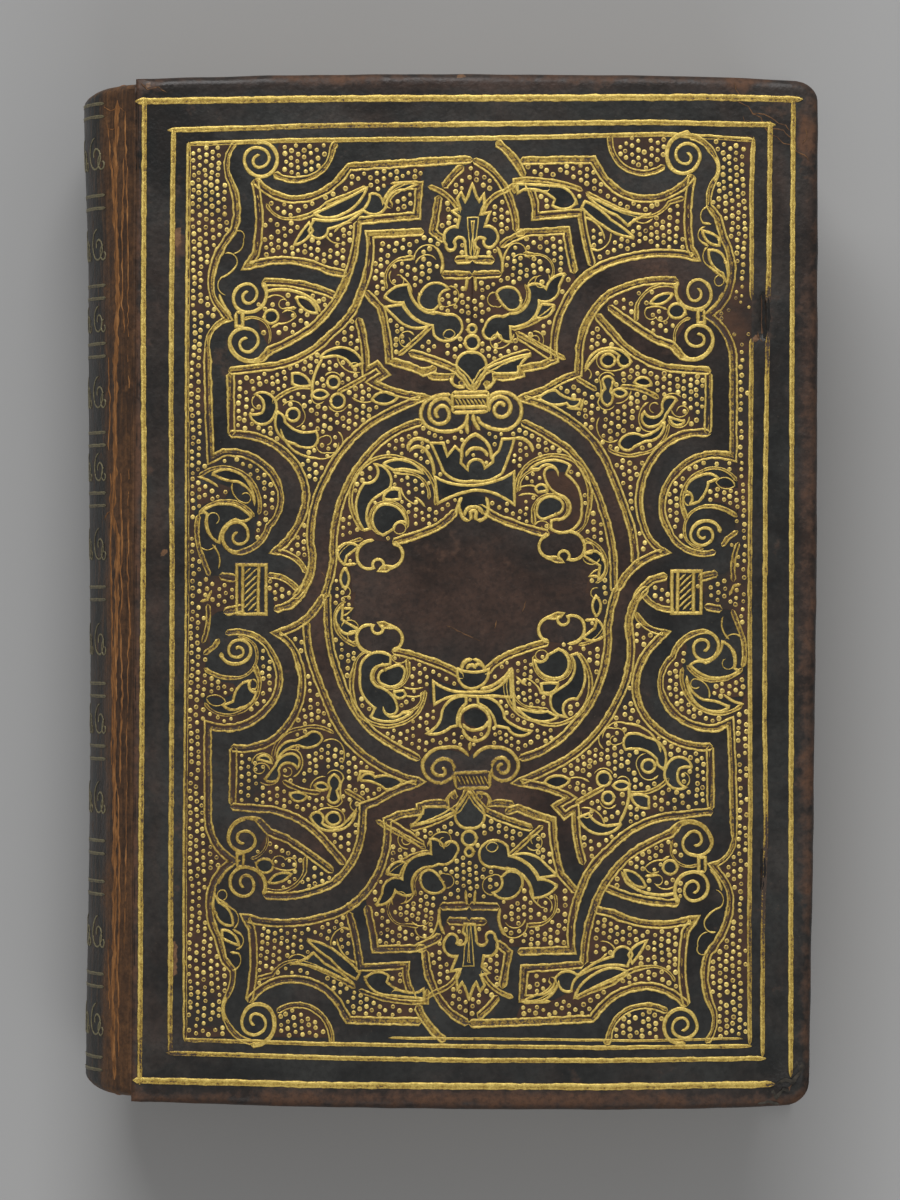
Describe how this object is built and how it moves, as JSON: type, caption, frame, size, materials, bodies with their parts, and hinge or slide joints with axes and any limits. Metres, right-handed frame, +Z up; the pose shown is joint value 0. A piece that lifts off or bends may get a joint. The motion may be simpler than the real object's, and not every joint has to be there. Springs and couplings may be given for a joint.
{
  "type": "leather-bound book",
  "caption": "Old book with hinged pasteboard covers in dark leather, gold-tooled with interlaced straps and dotted grounds, rounded spine and a solid block of pages.",
  "frame": {"origin": "middle of the footprint of the closed book, on the surface it lies on", "axes": "+X from the spine to the fore-edge, +Y from the tail to the head, +Z up through the thickness; the front cover is on top"},
  "size_m": [0.1251, 0.1772, 0.0382],
  "materials": {
    "pages": "aged rag paper, matte",
    "sewing_supports": "pale tawed skin",
    "spine_lining": "matte",
    "spine_leather": "worn, dry, satin",
    "spine_gilding": "dull worn gold leaf",
    "endbands": "faded thread",
    "boards": "layered pasteboard",
    "front_leather": "dark polished leather, mottled brown where worn",
    "pastedowns": "aged paper, matte",
    "front_gilding": "bright tooled gold leaf, worn in places",
    "front_dotted_ground": "brown leather stippled with domed gold dots",
    "back_leather": "dark worn leather"
  },
  "bodies": {
    "text_block": {"pages": "pages", "sewing_supports": "sewing_supports", "spine_lining": "spine_lining", "spine_leather": "spine_leather", "spine_gilding": "spine_gilding", "head_endband": "endbands", "tail_endband": "endbands"},
    "front_cover": {"front_board": "boards", "front_leather": "front_leather", "front_pastedown": "pastedowns", "front_gilding": "front_gilding", "front_dotted_ground": "front_dotted_ground"},
    "back_cover": {"back_board": "boards", "back_leather": "back_leather", "back_pastedown": "pastedowns", "back_gilding": "spine_gilding"}
  },
  "joints": [
    {"name": "front_cover_hinge", "type": "hinge", "parent": "text_block", "child": "front_cover", "pos_m": [-0.0535, 0, 0.038], "axis": [0, -1, 0], "range_deg": [0, 175]},
    {"name": "back_cover_hinge", "type": "hinge", "parent": "text_block", "child": "back_cover", "pos_m": [-0.0535, 0, 0], "axis": [0, 1, 0], "range_deg": [0, 175]}
  ]
}
